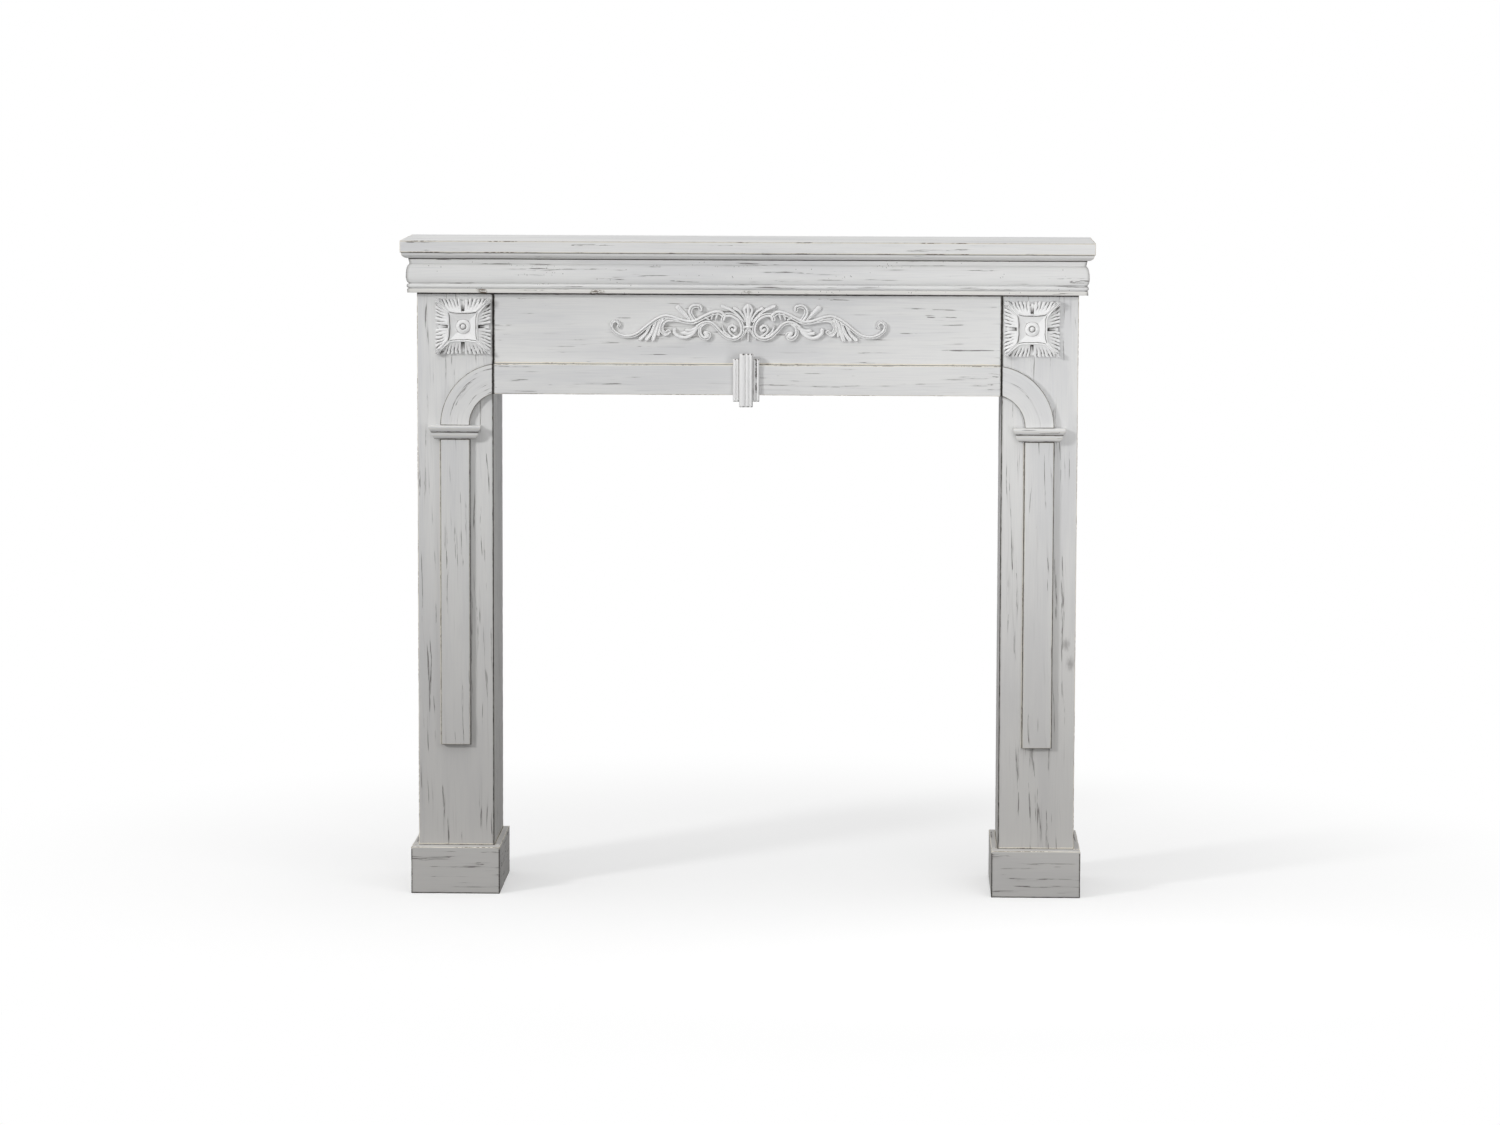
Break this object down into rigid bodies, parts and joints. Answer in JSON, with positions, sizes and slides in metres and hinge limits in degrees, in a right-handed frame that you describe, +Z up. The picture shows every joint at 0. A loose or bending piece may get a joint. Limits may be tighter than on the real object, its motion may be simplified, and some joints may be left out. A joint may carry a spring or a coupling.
{
  "type": "fireplace mantelpiece",
  "caption": "Painted wooden fireplace surround: boxed legs on plinths, frieze with rail and arch bands, moulded cornice and shelf, with carved rosettes, keystone and scroll ornament.",
  "frame": {"origin": "on the floor, at the middle of the width and of the depth of the whole surround", "axes": "+X to the right seen from the room, +Y towards the wall, +Z up"},
  "size_m": [1.17, 0.23, 1.112],
  "materials": {
    "painted_boards": "distressed matt white paint over softwood, thin grey-brown dry-brush streaks along the grain, worn edges",
    "painted_mouldings": "distressed matt white paint on run mouldings, brown rub-through along the beads and arrises",
    "painted_carvings": "thick matt white paint on carved ornament, with grey glaze left in the hollows"
  },
  "bodies": {
    "root": {"shelf_board": "painted_boards", "cornice_moulding_front": "painted_mouldings", "cornice_moulding_left": "painted_mouldings", "cornice_moulding_right": "painted_mouldings", "leg_left_front_board": "painted_boards", "leg_left_inner_board": "painted_boards", "leg_left_outer_board": "painted_boards", "leg_right_front_board": "painted_boards", "leg_right_inner_board": "painted_boards", "leg_right_outer_board": "painted_boards", "plinth_left_front_board": "painted_boards", "plinth_left_inner_board": "painted_boards", "plinth_left_outer_board": "painted_boards", "plinth_right_front_board": "painted_boards", "plinth_right_inner_board": "painted_boards", "plinth_right_outer_board": "painted_boards", "frieze_panel": "painted_boards", "lower_rail": "painted_boards", "arch_band_left": "painted_boards", "arch_band_right": "painted_boards", "impost_cap_left": "painted_mouldings", "impost_cap_right": "painted_mouldings", "pilaster_strip_left": "painted_boards", "pilaster_strip_right": "painted_boards", "keystone": "painted_carvings", "rosette_left": "painted_carvings", "rosette_right": "painted_carvings", "scroll_ornament": "painted_carvings"}
  },
  "joints": []
}
